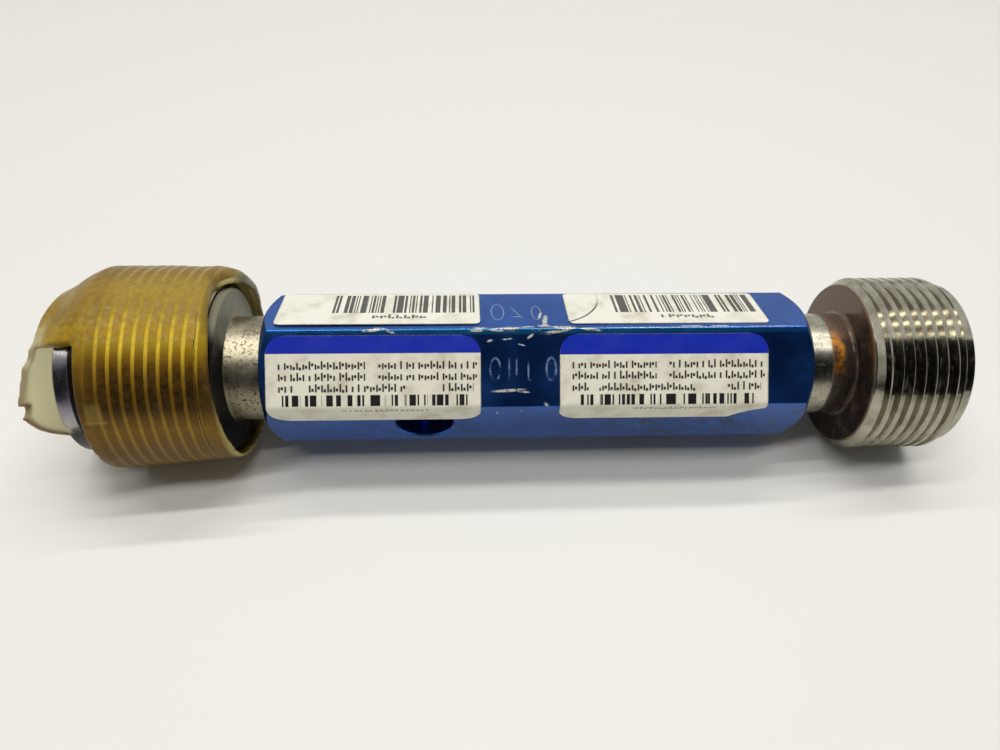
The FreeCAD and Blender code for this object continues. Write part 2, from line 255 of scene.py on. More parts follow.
# ------------------------------------------------------------- calibration labels
# White polyester labels, printed blue and black, stuck on the front flat and
# folded over the corner below it. Handling has yellowed and scuffed them.
label_thickness = 0.12


def stand(name, bm, material):
    """Makes a bmesh an object in the scene."""
    mesh = bpy.data.meshes.new(name)
    bm.to_mesh(mesh)
    bm.free()
    mesh.materials.append(material)
    thing = bpy.data.objects.new(name, mesh)
    bpy.context.scene.collection.objects.link(thing)
    return thing


def keep(name, bm, material, replaced):
    """Turns a bmesh in gauge millimetres into a piece that rides on the gauge."""
    bm.transform(gauge)
    piece = stand(name, bm, material)
    piece.data.shade_smooth()
    piece.data.set_sharp_from_angle(angle=math.radians(32))
    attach(piece, "root")
    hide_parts(replaced)


def label_sheet(x0, width, height, drop, angle, corner, fold=False, peel=None):
    """Thin sheet from a grid, its corners rounded row by row, its map in millimetres."""
    columns = 56
    rows = 44
    bm = bmesh.new()
    bmesh.ops.create_grid(bm, x_segments=columns, y_segments=rows, size=1)
    layer = bm.loops.layers.uv.new("label")
    across = {}
    for vert in bm.verts:
        u = (vert.co.x + 1) / 2
        v = (1 - vert.co.y) / 2 * height
        edge = min(v, height - v)
        inset = 0.0
        if edge < corner:
            inset = corner - math.sqrt(corner ** 2 - (corner - edge) ** 2)
        left, right = inset, width - inset
        if peel and v > height - peel[1]:
            share = (v - height + peel[1]) / peel[1]
            torn = peel[0] * share ** 0.6 + 0.25 * noise.noise(Vector((v * 3, 0, 0)))
            right = min(right, width - torn)
        along = left + (right - left) * u
        across[vert] = (along, v)
        down = drop + v
        lift = label_thickness / 2 + 0.02
        if fold and down > face_width:
            past = down - face_width
            vert.co = on_face(angle - 60, x0 + along, past, lift)
        else:
            vert.co = on_face(angle, x0 + along, down, lift)
        blend = abs(down - face_width)
        if fold and blend < 0.5:
            pull = (0.5 - blend) ** 2 * 0.45
            vert.co -= radial(angle - 30) * pull
    for face in bm.faces:
        for loop in face.loops:
            along, v = across[loop.vert]
            loop[layer].uv = (along / 40, v / 20)
    bmesh.ops.recalc_face_normals(bm, faces=bm.faces)
    bm.normal_update()
    outward = radial(angle)
    if sum(face.normal.dot(outward) for face in bm.faces) < 0:
        bmesh.ops.reverse_faces(bm, faces=bm.faces)
    bmesh.ops.solidify(bm, geom=bm.faces, thickness=-label_thickness)
    return bm


def label_parts(tree):
    """Millimetres along and down the label, from its own map."""
    place = add(tree, "UVMap", uv_map="label")
    place = add(tree, "Mapping", {"Vector": place, "Scale": (40, 20, 1)})
    along, down, _ = add(tree, "SeparateXYZ", place, out=None).outputs
    return place, along, down


def between(tree, value, low, high, soft=0.06):
    """Mask of 1 between two limits."""
    return add(tree, "Math", add(tree, "MapRange", value, low - soft, low + soft,
                                 interpolation_type="SMOOTHSTEP"),
               add(tree, "MapRange", value, high - soft, high + soft, 1.0, 0.0,
                   interpolation_type="SMOOTHSTEP"), operation="MULTIPLY")


def bars(tree, along, module, fill, seed):
    """Upright bars of uneven width: one random choice per module."""
    cell = add(tree, "Math", add(tree, "Math", along, module, operation="DIVIDE"),
               operation="FLOOR")
    chance = add(tree, "TexWhiteNoise", {"W": add(tree, "Math", cell, seed, operation="ADD")},
                 noise_dimensions="1D")
    return add(tree, "MapRange", chance, fill - 0.01, fill + 0.01, 1.0, 0.0,
               interpolation_type="SMOOTHSTEP")


def strokes(tree, along, down, top_edge, size, advance, seed):
    """A row of plain dashes the size of print, of random height and width."""
    cells = add(tree, "Math", along, advance, operation="DIVIDE")
    number = add(tree, "Math", cells, operation="FLOOR")
    inside = add(tree, "Math", cells, operation="FRACT")
    tall = add(tree, "Math", add(tree, "Math", down, top_edge, operation="SUBTRACT"), size,
               operation="DIVIDE")
    draw = add(tree, "TexWhiteNoise", {"W": add(tree, "Math", number, seed, operation="ADD")},
               out="Color", noise_dimensions="1D")
    a, b, c = add(tree, "SeparateXYZ", draw, out=None).outputs
    start = add(tree, "Math", a, 0.45, operation="MULTIPLY")
    upright = add(tree, "Math", between(tree, inside, 0.1, 0.4),
                  add(tree, "Math", add(tree, "MapRange",
                                        add(tree, "Math", tall, start, operation="SUBTRACT"), -0.05,
                                        0.05, interpolation_type="SMOOTHSTEP"),
                      add(tree, "MapRange", tall, 0.95, 1.05, 1.0, 0.0,
                          interpolation_type="SMOOTHSTEP"), operation="MULTIPLY"),
                  operation="MULTIPLY")
    foot = add(tree, "Math", b, 0.5, 0.25, operation="MULTIPLY_ADD")
    dash = add(tree, "Math", between(tree, inside, 0.5, 0.9),
               add(tree, "Math",
                   between(tree, add(tree, "Math", tall, foot, operation="SUBTRACT"), 0.0, 0.35),
                   add(tree, "MapRange", c, 0.2, 0.21, interpolation_type="SMOOTHSTEP"),
                   operation="MULTIPLY"), operation="MULTIPLY")
    return add(tree, "Math", upright, dash, operation="MAXIMUM")


# Printed polyester film: satin, yellowed in smudges of about 6 mm, with brown
# specks of 1 mm and a rim of dirt where the glue has crept.
def finish_label(tree, shader, place, along, down, paper, band, ink, width, height):
    """Aged sheet, blue band and ink, then smudges, scuffs and a dirty rim."""
    smudge = add(tree, "TexNoise",
                 {"Vector": place, "Scale": 0.16, "Detail": 5.0, "Roughness": 0.6})
    age = add(tree, "Mix", {0: add(tree, "MapRange", smudge, 0.42, 0.8, 0.0, 0.8,
                                   interpolation_type="SMOOTHSTEP"), 6: paper, 7: "#b3aa8a"}, out=2,
              data_type="RGBA")
    age = add(tree, "Mix", {0: band, 6: age, 7: "#0526ac"}, out=2, data_type="RGBA")
    print_colour = add(tree, "Mix", {0: ink, 6: age, 7: "#14120f"}, out=2, data_type="RGBA")
    specks = patches(tree, place, 1.1, 0.68, 0.74, detail=6.0, roughness=0.7)
    dirty = over(tree, print_colour, "#6f6346", specks, 0.55)
    edge = add(tree, "Math", add(tree, "Math", along,
                                 add(tree, "Math", width, along, operation="SUBTRACT"),
                                 operation="MINIMUM"), add(tree, "Math", down,
                                                           add(tree, "Math", height, down,
                                                               operation="SUBTRACT"),
                                                           operation="MINIMUM"),
               operation="MINIMUM")
    ragged = add(tree, "Math", edge, add(tree, "Math", add(tree, "TexNoise",
                                                           {"Vector": place, "Scale": 0.9,
                                                            "Detail": 3.0, "Roughness": 0.55}), 0.5,
                                         operation="MULTIPLY"), operation="ADD")
    rim = add(tree, "MapRange", ragged, 0.25, 0.5, 0.55, 0.0, interpolation_type="SMOOTHSTEP")
    final = add(tree, "Mix", {0: rim, 6: dirty, 7: "#6e6852"}, out=2, data_type="RGBA")
    tree.links.new(final, shader.inputs["Base Color"])
    tree.links.new(add(tree, "MapRange", smudge, 0.3, 0.7, 0.32, 0.5,
                       interpolation_type="SMOOTHSTEP"), shader.inputs["Roughness"])


def calibration_material(name, band, rows, bar_row, foot_row, seed):
    """Blue band, three rows of dashes, a row of bars and a foot line."""
    material, tree, shader = new_material(name, Roughness=0.4)
    place, along, down = label_parts(tree)
    header = add(tree, "MapRange", down, band - 0.04, band + 0.04, 1.0, 0.0,
                 interpolation_type="SMOOTHSTEP")
    lines = [add(tree, "Math", strokes(tree, along, down, y, 1.6, 1.12, seed + 40 * i),
                 any_of(tree, [between(tree, along, a, b) for a, b in spans]),
                 operation="MULTIPLY") for i, (y, spans) in enumerate(rows)]
    code = add(tree, "Math", bars(tree, along, 0.3, 0.58, seed + 300),
               between(tree, down, *bar_row), operation="MULTIPLY")
    gaps = add(tree, "Math", add(tree, "Math", add(tree, "Math", along, 3.0, operation="SUBTRACT"),
                                 3.9, operation="DIVIDE"), operation="FRACT")
    code = add(tree, "Math", code,
               add(tree, "MapRange", gaps, 0.86, 0.87, 1.0, 0.0, interpolation_type="SMOOTHSTEP"),
               operation="MULTIPLY")
    code = add(tree, "Math", code, between(tree, along, 2.9, 37.2), operation="MULTIPLY")
    foot = add(tree, "Math", strokes(tree, along, down, foot_row, 0.8, 0.95, seed + 500),
               between(tree, along, 13.9, 29.8), operation="MULTIPLY")
    ink = any_of(tree, lines + [code, add(tree, "Math", foot, 0.8, operation="MULTIPLY")])
    finish_label(tree, shader, place, along, down, "#eeead8", header, ink, 39.7, 18.6)
    return material


go_calibration_print = calibration_material(
    "go_calibration_label_polyester", 3.4,
    [(4.75, [(2.1, 18.3), (20.6, 39.0)]), (6.85, [(2.1, 18.3), (20.6, 39.0)]),
     (8.95, [(2.1, 5.4), (7.4, 25.8), (31.8, 38.3)])], (11.1, 13.15), 13.8, 11)
sheet = label_sheet(-51.0, 39.7, 18.4, 1.1, front, 3.6, fold=True)
keep("go_calibration_label_sheet", sheet, go_calibration_print,
     "go_calibration_label")

nogo_calibration_print = calibration_material(
    "nogo_calibration_label_polyester", 3.9,
    [(4.9, [(2.1, 18.3), (20.6, 39.0)]), (6.95, [(2.1, 18.3), (20.6, 39.0)]),
     (9.15, [(2.1, 5.4), (7.4, 25.8), (31.8, 38.3)])], (11.4, 13.4), 13.9, 71)
sheet = label_sheet(3.5, 39.7, 18.6, 1.05, front, 3.6, fold=True, peel=(6.6, 3.6))
keep("nogo_calibration_label_sheet", sheet, nogo_calibration_print,
     "nogo_calibration_label")

# ----------------------------------------------------------------- barcode labels
# Narrower white labels with black bars on the top flat, cream with age.


def barcode_material(name, code_span, seed, with_curl_shadow=False):
    """Bars, a row of dashes, and on a curled label the shadow line of its lifted corner."""
    material, tree, shader = new_material(name, Roughness=0.4)
    place, along, down = label_parts(tree)
    code = add(tree, "Math", bars(tree, along, 0.24, 0.5, seed), between(tree, down, 0.75, 8.2),
               operation="MULTIPLY")
    code = add(tree, "Math", code, between(tree, along, *code_span), operation="MULTIPLY")
    digits = add(tree, "Math", strokes(tree, along, down, 8.75, 1.7, 1.5, seed + 90),
                 between(tree, along, 18.0, 28.4), operation="MULTIPLY")
    ink = add(tree, "Math", add(tree, "Math", code, digits, operation="MAXIMUM"), 0.93,
              operation="MULTIPLY")
    if with_curl_shadow:
        # Painted shadow: a dark arc for the shadow of a lifted corner, printed dark with the ink.
        reach = add(tree, "VectorMath", place, (-5.0, 1.2, 0), out="Value", operation="DISTANCE")
        curl_shadow_line = add(tree, "Math", between(tree, reach, 11.75, 12.1, 0.15),
                   add(tree, "MapRange", down, 1.5, 7.0, 0.2, 1.0, interpolation_type="SMOOTHSTEP"),
                   operation="MULTIPLY")
        ink = add(tree, "Math", ink, curl_shadow_line, operation="MAXIMUM")
    finish_label(tree, shader, place, along, down, "#f0eee0", 0.0, ink, 38.6, 12.7)
    return material


go_barcode_print = barcode_material("go_barcode_label_polyester", (9.6, 37.6), 223)
sheet = label_sheet(-49.9, 38.6, 12.7, 0.4, top, 1.2)
keep("go_barcode_label_sheet", sheet, go_barcode_print,
     "go_barcode_label")

nogo_barcode_print = barcode_material("nogo_barcode_label_polyester", (9.6, 37.6), 137, with_curl_shadow=True)
sheet = label_sheet(5.5, 38.6, 12.7, 0.5, top, 1.2)
keep("nogo_barcode_label_sheet", sheet, nogo_barcode_print,
     "nogo_barcode_label")

# ---------------------------------------------------------------------- GO member
# Hardened and ground tool steel. Its thread is inside the coat; a plain land, a
# chamfer and the end face show where the coat is cut.
def axis_parts(tree, vector):
    """x along the axis, radius and angle in turns (0 to the front, 0.25 up)."""
    x, y, z = add(tree, "SeparateXYZ", vector, out=None).outputs
    forward = add(tree, "Math", y, -1.0, operation="MULTIPLY")
    radius = add(tree, "Math", add(tree, "Math", y, y,
                                   add(tree, "Math", z, z, operation="MULTIPLY"),
                                   operation="MULTIPLY_ADD"), operation="SQRT")
    angle = add(tree, "Math", add(tree, "Math", z, forward, operation="ARCTAN2"), 2 * math.pi,
                operation="DIVIDE")
    return x, radius, angle


# Hardened steel ground bright: a grey mirror, pitted brown on the neck by pits of about 0.5 mm.
# Painted shade lies over it dull and dark on the face in the coat's mouth and on the lower half of
# the end land. The chamfer band by the coat is near-black, and the land's upper front carries a
# painted lavender reflection.
bright_steel, tree, shader = new_material("ground_tool_steel", Roughness=0.2,
                                          Specular_IOR_Level=0.15)
place = gauge_coordinates(tree)
x, radius, angle = axis_parts(tree, place)
tone = add(tree, "TexNoise", {"Vector": place, "Scale": 0.35, "Detail": 4.0, "Roughness": 0.55})
steel = add(tree, "ValToRGB", tone, stops=[(0.3, "#8d897b"), (0.7, "#b5b1a3")])
# Painted reflection: a lavender band on the upper front of the end land.
painted_lavender_reflection = add(tree, "Math", between(tree, angle, 0.03, 0.16, 0.03),
               add(tree, "MapRange", x, -80.0, -82.0, interpolation_type="SMOOTHSTEP"),
               operation="MULTIPLY")
steel = over(tree, steel, "#8a84a6", painted_lavender_reflection, 0.55)
fine_pits = add(tree, "TexNoise", {"Vector": place, "Scale": 1.9, "Detail": 7.0, "Roughness": 0.72})
on_neck = between(tree, x, -60.2, -52.0, 0.4)
pits = add(tree, "Math",
           add(tree, "MapRange", fine_pits, 0.53, 0.6, interpolation_type="SMOOTHSTEP"),
           add(tree, "Math", on_neck, 0.75, 0.12, operation="MULTIPLY_ADD"), operation="MULTIPLY")
steel = over(tree, steel, "#857850", on_neck, 0.45)
steel = add(tree, "Mix", {0: pits, 6: steel, 7: "#2e261c"}, out=2, data_type="RGBA")
inner_face = add(tree, "Math", between(tree, x, -61.0, -58.9, 0.1),
                 add(tree, "MapRange", radius, 10.4, 10.8, interpolation_type="SMOOTHSTEP"),
                 operation="MULTIPLY")
# Painted shade: the face in the coat's mouth is near-black, with painted light making its top grey.
face_shade_and_light = add(tree, "Mix", {0: add(tree, "MapRange", angle, 0.17, 0.215,
                                interpolation_type="SMOOTHSTEP"), 6: "#0d0c0a", 7: "#85836f"},
           out=2, data_type="RGBA")
steel = add(tree, "Mix", {0: inner_face, 6: steel, 7: face_shade_and_light}, out=2, data_type="RGBA")
# The chamfer band between the land and the coat is painted near-black.
dark_ring = add(tree, "Math", between(tree, x, -84.9, -82.0, 0.1),
                add(tree, "MapRange", radius, 14.0, 14.5, interpolation_type="SMOOTHSTEP"),
                operation="MULTIPLY")
# Painted shade: the lower half of the member's end, left of the thread, is near-black.
painted_low_side_shade = add(tree, "MapRange", add(tree, "Math", tone, 0.05, angle, operation="MULTIPLY_ADD"), 0.04,
            0.015, interpolation_type="SMOOTHSTEP")
painted_low_side_shade = add(tree, "Math", painted_low_side_shade,
            add(tree, "MapRange", x, -70.0, -75.0, interpolation_type="SMOOTHSTEP"),
            operation="MULTIPLY")
dark_ring = add(tree, "Math", dark_ring, add(tree, "Math", painted_low_side_shade, 0.9, operation="MULTIPLY"),
                operation="MAXIMUM")
steel = add(tree, "Mix", {0: dark_ring, 6: steel, 7: "#14100d"}, out=2, data_type="RGBA")
tree.links.new(steel, shader.inputs["Base Color"])
not_metal = any_of(tree, [inner_face, dark_ring, add(tree, "Math", pits, 0.8, operation="MULTIPLY")])
tree.links.new(add(tree, "Math", 1.0, not_metal, operation="SUBTRACT"), shader.inputs["Metallic"])
roughness = add(tree, "MapRange", tone, 0.2, 0.8, 0.2, 0.34, interpolation_type="SMOOTHSTEP")
tree.links.new(add(tree, "Math", on_neck, 0.12, roughness, operation="MULTIPLY_ADD"),
               shader.inputs["Roughness"])


# The member is turned in one piece and its thread is ground on, one ridge 2.117 mm
# from turn to turn; the coat hides all but its ends.
pitch = 25.4 / 12
land, crest, neck = 15.99, 17.46, 10.32
outer_face_x, inner_face_x = -87.7, -59.6
steps_round, rounds = 72, 10.2
outline = [(-85.2, 0), (-85.2, 1.6), (outer_face_x, 1.6), (outer_face_x, land - 0.35),
           (-87.35, land), (-59.95, land), (inner_face_x, land - 0.35), (inner_face_x, neck + 0.8),
           (-59.37, neck + 0.24), (-58.8, neck), (-52.4, neck), (-52.4, 0)]
bm = bmesh.new()
verts = [bm.verts.new((along, 0, out)) for along, out in outline]
edges = [bm.edges.new(pair) for pair in zip(verts, verts[1:])]
bmesh.ops.spin(bm, geom=verts + edges, cent=(0, 0, 0), axis=(1, 0, 0), dvec=(0, 0, 0),
               angle=2 * math.pi, steps=96, use_merge=True, use_normal_flip=False,
               use_duplicate=False)
tooth = [bm.verts.new((-83.6 + along, 0, out)) for along, out in
         ((-pitch / 2, land - 0.05), (-0.25, crest), (0.25, crest), (pitch / 2, land - 0.05))]
bmesh.ops.spin(bm, geom=[bm.faces.new(tooth)], cent=(0, 0, 0), axis=(1, 0, 0),
               dvec=(pitch / steps_round, 0, 0), angle=2 * math.pi * rounds,
               steps=int(steps_round * rounds), use_merge=False, use_normal_flip=False,
               use_duplicate=False)
bmesh.ops.remove_doubles(bm, verts=bm.verts, dist=0.0001)
bmesh.ops.recalc_face_normals(bm, faces=bm.faces)
keep("go_member_threaded", bm, bright_steel, "go_member")

# -------------------------------------------------------------------- NO-GO member
# Same steel, bare: ground thread crests and flanks, with the face beside the neck stained dark with
# painted shade, and rust where the neck meets it, partly a painted highlight.

# The same steel, bare: brighter on the thread, darker and browner on its lower side, brown-black
# stain and painted shade on the face with a painted lighter top, and golden rust with grains of 2
# mm where the neck meets it, laid only on the upper front as a partly painted highlight.
stained_steel, tree, shader = new_material("bare_tool_steel", Roughness=0.2,
                                           Specular_IOR_Level=0.15)
place = gauge_coordinates(tree)
x, radius, angle = axis_parts(tree, place)
tone = add(tree, "TexNoise", {"Vector": place, "Scale": 0.3, "Detail": 4.0, "Roughness": 0.55})
steel = add(tree, "ValToRGB", tone, stops=[(0.3, "#8f8a7c"), (0.7, "#b2ae9e")])
on_neck = between(tree, x, 50.0, 61.6, 0.3)
low_side = add(tree, "MapRange", angle, 0.02, -0.08, interpolation_type="SMOOTHSTEP")
steel = over(tree, steel, "#8c8570", low_side, 0.5)
stained_x = add(tree, "Math", tone, 1.2, x, operation="MULTIPLY_ADD")
on_face_ring = add(tree, "Math",
                   add(tree, "MapRange", x, 62.5, 61.95, interpolation_type="SMOOTHSTEP"),
                   add(tree, "MapRange", radius, 10.4, 10.9, interpolation_type="SMOOTHSTEP"),
                   operation="MULTIPLY")
on_face_ring = add(tree, "Math", on_face_ring, between(tree, stained_x, 57.8, 62.6, 0.4),
                   operation="MAXIMUM")
stain = add(tree, "TexNoise", {"Vector": place, "Scale": 0.35, "Detail": 5.0, "Roughness": 0.55})
# The face's dark brown is partly real stain, partly painted shade.
stain_and_shade_colour = add(tree, "ValToRGB", stain,
                   stops=[(0.35, "#1c1412"), (0.55, "#3a2a22"), (0.7, "#5b4638")])
# Painted light: the face is lighter and greyer towards its top.
stain_and_shade_colour = add(tree, "Mix", {0: add(tree, "MapRange", angle, 0.19, 0.24,
                                        interpolation_type="SMOOTHSTEP"), 6: stain_and_shade_colour,
                                 7: "#6a5648"}, out=2, data_type="RGBA")
stain_and_shade_colour = add(tree, "Mix", {0: add(tree, "MapRange", radius, 15.6, 16.8, 0.0, 0.7,
                                        interpolation_type="SMOOTHSTEP"), 6: stain_and_shade_colour,
                                 7: "#6b3f26"}, out=2, data_type="RGBA")
steel = over(tree, steel, stain_and_shade_colour, on_face_ring, 0.95)
rust_noise = patches(tree, place, 0.5, 0.3, 0.55, detail=4.0)
# Golden rust is laid only on the upper front of the neck's end, where the light falls, so it is
# partly a painted highlight.
rust_and_glint_patch = add(tree, "Math", between(tree, radius, 9.5, 12.0, 0.5),
                 between(tree, angle, 0.11, 0.22, 0.03), operation="MULTIPLY")
rust_and_glint_patch = add(tree, "Math", rust_and_glint_patch, between(tree, x, 57.3, 59.4, 0.5), operation="MULTIPLY")
rust_and_glint_patch = add(tree, "Math", rust_and_glint_patch, rust_noise, operation="MULTIPLY")
rust_colour = add(tree, "Mix", {0: add(tree, "MapRange", tone, 0.4, 0.6,
                                       interpolation_type="SMOOTHSTEP"), 6: "#7a4308",
                                7: "#c27a14"}, out=2, data_type="RGBA")
steel = add(tree, "Mix", {0: rust_and_glint_patch, 6: steel, 7: rust_colour}, out=2, data_type="RGBA")
streaks = add(tree, "TexNoise", {"Vector": add(tree, "Mapping",
                                               {"Vector": place, "Scale": (1.0, 0.35, 0.35)}),
                                 "Scale": 0.9, "Detail": 6.0, "Roughness": 0.7})
streaks = add(tree, "MapRange", streaks, 0.56, 0.64, interpolation_type="SMOOTHSTEP")
on_thread = add(tree, "MapRange", x, 62.2, 63.4, interpolation_type="SMOOTHSTEP")
streaks = add(tree, "Math", streaks,
              add(tree, "Math", low_side, 0.5, 0.2, operation="MULTIPLY_ADD"), operation="MULTIPLY")
streaks = add(tree, "Math", streaks, on_thread, operation="MULTIPLY")
steel = add(tree, "Mix", {0: streaks, 6: steel, 7: "#4a3622"}, out=2, data_type="RGBA")
fine_pits = add(tree, "TexNoise", {"Vector": place, "Scale": 1.7, "Detail": 7.0, "Roughness": 0.72})
pits = add(tree, "MapRange", fine_pits, 0.56, 0.64, interpolation_type="SMOOTHSTEP")
pits = add(tree, "Math", pits, add(tree, "Math", on_neck, 0.6, 0.12, operation="MULTIPLY_ADD"),
           operation="MULTIPLY")
steel = add(tree, "Mix", {0: pits, 6: steel, 7: "#2c2016"}, out=2, data_type="RGBA")
tree.links.new(steel, shader.inputs["Base Color"])
not_metal = any_of(tree, [rust_and_glint_patch, add(tree, "Math", pits, 0.8, operation="MULTIPLY"), streaks,
                        add(tree, "Math", on_face_ring, 0.6, operation="MULTIPLY")])
tree.links.new(add(tree, "Math", 1.0, not_metal, operation="SUBTRACT"), shader.inputs["Metallic"])
roughness = add(tree, "MapRange", tone, 0.2, 0.8, 0.11, 0.15, interpolation_type="SMOOTHSTEP")
tree.links.new(add(tree, "Math", on_neck, 0.14, roughness, operation="MULTIPLY_ADD"),
               shader.inputs["Roughness"])
dress("nogo_member", stained_steel)

# ----------------------------------------------------------------------- dip coat
# Amber strippable plastic, dipped hot over the GO member and set as one thick
# skin. It has taken up the thread as soft ridges; its end was cut and has sprung.

# Soft cellulose plastic, amber and slightly clear: light spreads inside it, so thin edges glow
# pale. The thread shows as bands whose dark and bright parts round the axis are painted shade and
# painted highlight, and the far inner wall of the mouth has a painted glow. Clouds are about 6 mm.
amber, tree, shader = new_material("amber_dip_plastic", Roughness=0.36)
shader.inputs["Subsurface Radius"].default_value = (0.003, 0.0022, 0.0008)
shader.inputs["Specular IOR Level"].default_value = 0.1
shader.inputs["Coat Weight"].default_value = 0.05
shader.inputs["Coat Roughness"].default_value = 0.12
place = gauge_coordinates(tree)
x, radius, angle = axis_parts(tree, place)
cloud = add(tree, "TexNoise", {"Vector": place, "Scale": 0.16, "Detail": 5.0, "Roughness": 0.6})
fine_cloud = add(tree, "TexNoise",
                 {"Vector": place, "Scale": 0.9, "Detail": 6.0, "Roughness": 0.65})
turns = add(tree, "Math", add(tree, "Math", x, pitch, operation="DIVIDE"), angle,
            operation="SUBTRACT")
turns = add(tree, "Math", turns, add(tree, "Math", cloud, 0.14, 0.1, operation="MULTIPLY_ADD"),
            operation="ADD")
wave = add(tree, "Math", turns, 0.5, operation="PINGPONG")
ridge = add(tree, "MapRange", wave, 0.2, 0.11, interpolation_type="SMOOTHSTEP")
hairline = between(tree, wave, 0.05, 0.09, 0.025)
# Painted shade and highlight round the axis: the bands are darkest on the upper front and bright
# yellow near the top; the back and underside keep plain tones.
painted_light_share = add(tree, "MapRange",
                  add(tree, "Math", fine_cloud, 0.03, angle, operation="MULTIPLY_ADD"), -0.1, 0.35,
                  interpolation_type="SMOOTHSTEP")
valley_colour_and_painted_light = add(tree, "ValToRGB", painted_light_share, stops=[(0.1, "#6a4e18"), (0.24, "#80601c"),
                                                          (0.36, "#2e210a"), (0.47, "#2e210a"),
                                                          (0.56, "#4e360c"), (0.62, "#80600e"),
                                                          (0.68, "#a88a18"), (0.75, "#ac8b22"),
                                                          (0.84, "#9c8030"), (0.92, "#a88e3e")])
ridge_colour_and_painted_light = add(tree, "ValToRGB", painted_light_share, stops=[(0.1, "#86681e"), (0.24, "#b08a26"),
                                                         (0.36, "#6c4c14"), (0.44, "#66490f"),
                                                         (0.53, "#957524"), (0.6, "#c8a72e"),
                                                         (0.66, "#f2d040"), (0.74, "#e6c43c"),
                                                         (0.83, "#b3962e"), (0.92, "#a88e3e")])
facing = add(tree, "Math", add(tree, "Math", angle, 2 * math.pi, operation="MULTIPLY"),
             operation="COSINE")
behind = add(tree, "MapRange", facing, 0.0, -0.45, interpolation_type="SMOOTHSTEP")
upright = add(tree, "Math", add(tree, "Math", angle, 2 * math.pi, operation="MULTIPLY"),
              operation="SINE")
under_behind = add(tree, "Math", behind,
                   add(tree, "MapRange", upright, -0.55, -0.9, interpolation_type="SMOOTHSTEP"),
                   operation="MAXIMUM")
valley_colour_and_painted_light = add(tree, "Mix", {0: under_behind, 6: valley_colour_and_painted_light, 7: "#7e6428"}, out=2,
                    data_type="RGBA")
ridge_colour_and_painted_light = add(tree, "Mix", {0: under_behind, 6: ridge_colour_and_painted_light, 7: "#a88e3e"}, out=2,
                   data_type="RGBA")
ridge_colour_and_painted_light = over(tree, ridge_colour_and_painted_light, "#7a5c14", hairline, 0.4)
ragged_x = add(tree, "Math", x, add(tree, "Math", cloud, 3.0, operation="MULTIPLY"),
               operation="ADD")
in_thread = between(tree, ragged_x, -78.5, -59.6, 0.9)
plain_share = add(tree, "MapRange", cloud, 0.3, 0.75, 0.0, 0.4, interpolation_type="SMOOTHSTEP")
ridge_share = add(tree, "Mix", {0: in_thread, 6: plain_share, 7: ridge}, out=2, data_type="RGBA")
skin = add(tree, "Mix", {0: ridge_share, 6: valley_colour_and_painted_light, 7: ridge_colour_and_painted_light}, out=2,
           data_type="RGBA")
muddy = add(tree, "MapRange", fine_cloud, 0.35, 0.7, 0.0, 0.35, interpolation_type="SMOOTHSTEP")
muddy = add(tree, "Math", muddy,
            add(tree, "MapRange", x, -76.0, -80.0, 0.0, 0.3, interpolation_type="SMOOTHSTEP"),
            operation="ADD")
skin = add(tree, "Mix", {0: muddy, 6: skin, 7: "#6b4d1a"}, out=2, data_type="RGBA")
clear_lip = add(tree, "MapRange", x, -59.6, -58.4, interpolation_type="SMOOTHSTEP")
# Painted glow: the far inner wall of the mouth is pale yellow, as if lit through.
inner_wall_glow = add(tree, "Math",
                 add(tree, "MapRange", x, -61.2, -60.4, interpolation_type="SMOOTHSTEP"),
                 add(tree, "MapRange", radius, 18.2, 17.8, interpolation_type="SMOOTHSTEP"),
                 operation="MULTIPLY")
inner_wall_glow = add(tree, "Math", inner_wall_glow,
                 add(tree, "MapRange", facing, 0.1, -0.2, interpolation_type="SMOOTHSTEP"),
                 operation="MULTIPLY")
skin = add(tree, "Mix", {0: add(tree, "Math", inner_wall_glow,
                                add(tree, "Math", clear_lip, 0.7, operation="MULTIPLY"),
                                operation="MAXIMUM"), 6: skin, 7: "#e0d080"}, out=2,
           data_type="RGBA")
crack_x = add(tree, "Math", fine_cloud, 0.9, x, operation="MULTIPLY_ADD")
crack = add(tree, "Math", between(tree, crack_x, -61.35, -61.1, 0.06),
            between(tree, angle, -0.2, 0.2, 0.03), operation="MULTIPLY")
crack = add(tree, "Math", crack,
            add(tree, "MapRange", cloud, 0.4, 0.5, interpolation_type="SMOOTHSTEP"),
            operation="MULTIPLY")
skin = over(tree, skin, "#2a1c0a", crack, 0.85)
nick = add(tree, "Math", between(tree, x, -80.9, -78.0, 0.3),
           between(tree, angle, 0.045, 0.075, 0.008), operation="MULTIPLY")
nick = add(tree, "Math", nick, 0.22, operation="MULTIPLY")
nick_line = add(tree, "Math", between(tree, x, -81.2, -77.6, 0.2),
                between(tree, angle, 0.045, 0.049, 0.003), operation="MULTIPLY")
skin = add(tree, "Mix", {0: add(tree, "Math", nick,
                                add(tree, "Math", nick_line, 0.45, operation="MULTIPLY"),
                                operation="MAXIMUM"), 6: skin, 7: "#c4aa56"}, out=2,
           data_type="RGBA")
flap_share = add(tree, "Math",
                 add(tree, "MapRange", x, -84.5, -87.0, interpolation_type="SMOOTHSTEP"),
                 add(tree, "MapRange", add(tree, "Math", upright, radius, operation="MULTIPLY"),
                     16.3, 13.6, interpolation_type="SMOOTHSTEP"), operation="MULTIPLY")
skin = add(tree, "Mix", {0: flap_share, 6: skin, 7: "#faf4cc"}, out=2, data_type="RGBA")
rim = add(tree, "Attribute", out="Fac", attribute_name="torn_rim")
skin = add(tree, "Mix",
           {0: add(tree, "Math", rim, flap_share, operation="MULTIPLY"), 6: skin, 7: "#8c6432"},
           out=2, data_type="RGBA")
specks = patches(tree, place, 1.1, 0.69, 0.74, detail=7.0, roughness=0.7)
skin = over(tree, skin, "#2c1e0c", specks, 0.75)
